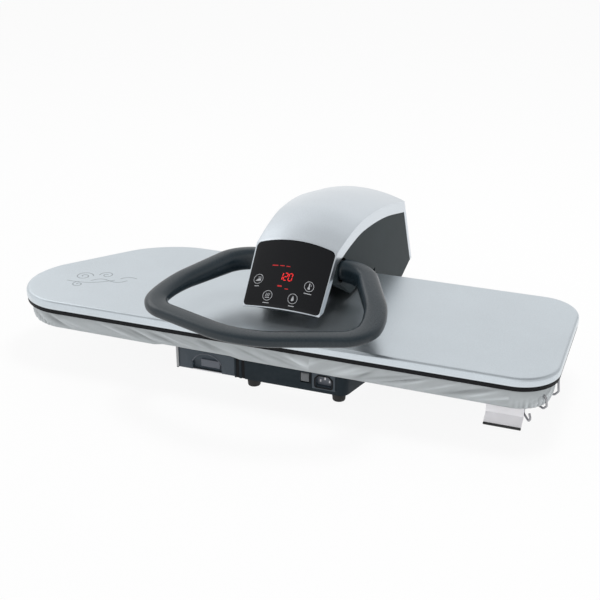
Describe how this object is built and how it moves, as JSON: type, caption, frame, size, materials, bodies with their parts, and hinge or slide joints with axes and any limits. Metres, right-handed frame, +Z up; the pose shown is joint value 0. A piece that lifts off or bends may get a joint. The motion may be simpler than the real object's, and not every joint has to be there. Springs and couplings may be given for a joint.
{
  "type": "steam ironing press",
  "caption": "Steam ironing press: heated plate on a hinged arm with a loop handle and a touch panel, over a padded board on a plastic base with a water tank.",
  "frame": {"origin": "on the floor under the middle of the bounding box", "axes": "+X to the user's right along the board, +Y away from the user, +Z up"},
  "size_m": [0.842, 0.592, 0.2335],
  "materials": {
    "silver_paint": "satin",
    "silver_plastic": "satin",
    "dark_panel": "satin",
    "gloss_black": "gloss",
    "black_plastic": "satin",
    "charcoal": "satin",
    "base_grey": "satin",
    "light_key": "satin",
    "board_cloth": "matt",
    "felt": "matt",
    "rubber_black": "matt",
    "plated_steel": "satin",
    "chrome_wire": "bright",
    "cast_aluminium": "satin",
    "brass_fitting": "satin",
    "circuit_green": "satin"
  },
  "bodies": {
    "base": {"feet": "rubber_black", "base_shell": "base_grey", "base_floor": "plated_steel", "rear_housing": "base_grey", "base_screws": "plated_steel", "hinge_bracket": "plated_steel", "hinge_pin": "plated_steel", "lift_springs": "plated_steel", "pump": "black_plastic", "power_board": "circuit_green", "board_standoffs": "plated_steel", "switch_housing": "black_plastic", "inlet_socket": "black_plastic", "inlet_pins": "brass_fitting", "mains_wiring": "rubber_black", "tank_socket": "black_plastic", "suction_hose": "rubber_black", "water_hose": "rubber_black", "board_rails": "plated_steel", "board_tray": "plated_steel", "board_pad": "felt", "board_cover": "board_cloth", "cover_clip": "plated_steel", "clip_edging": "rubber_black", "cover_hooks": "chrome_wire"},
    "arm": {"arm_cover": "silver_plastic", "side_panel_left": "dark_panel", "side_panel_right": "dark_panel", "under_cover": "dark_panel", "control_panel": "gloss_black", "panel_carrier": "black_plastic", "control_board": "circuit_green", "display": "black_plastic", "touch_pads": "light_key", "arm_plate_left": "plated_steel", "arm_plate_right": "plated_steel", "cross_tubes": "plated_steel", "panel_posts": "plated_steel", "hinge_bushes": "brass_fitting", "yoke_pin": "plated_steel"},
    "handle": {"handle_loop": "charcoal", "handle_hub_left": "charcoal", "handle_hub_right": "charcoal", "handle_shaft": "plated_steel", "pressure_cam": "charcoal"},
    "plate": {"plate_cover": "silver_paint", "plate_rim": "black_plastic", "soleplate": "cast_aluminium", "heating_element": "cast_aluminium", "steam_chest": "cast_aluminium", "thermostat": "plated_steel", "plate_spacers": "plated_steel", "plate_yoke": "cast_aluminium", "plate_nipple": "brass_fitting"},
    "tank": {"tank_body": "base_grey", "tank_lid": "base_grey", "tank_front": "base_grey", "tank_cap": "light_key", "tank_valve": "brass_fitting"},
    "rocker": {"power_rocker": "light_key"}
  },
  "joints": [
    {"name": "arm_lift", "type": "hinge", "parent": "base", "child": "arm", "pos_m": [0.015, 0.22904, 0.085], "axis": [-1, 0, 0], "range_deg": [0, 40], "deforming": ["water_hose"]},
    {"name": "handle_press", "type": "hinge", "parent": "arm", "child": "handle", "pos_m": [0.015, -0.04296, 0.168], "axis": [-1, 0, 0], "range_deg": [0, 20]},
    {"name": "plate_tilt", "type": "hinge", "parent": "arm", "child": "plate", "pos_m": [0.015, -0.01096, 0.146], "axis": [1, 0, 0], "range_deg": [0, 2.5], "deforming": ["water_hose"]},
    {"name": "tank_slide", "type": "slide", "parent": "base", "child": "tank", "axis": [0, -1, 0], "range_m": [0, 0.21]},
    {"name": "rocker_turn", "type": "hinge", "parent": "base", "child": "rocker", "pos_m": [0.056, -0.13546, 0.0325], "axis": [1, 0, 0], "range_deg": [0, 12]}
  ],
  "couplings": [
    {"joint": "plate_tilt", "follows": "arm_lift", "ratio": 0.0625}
  ]
}
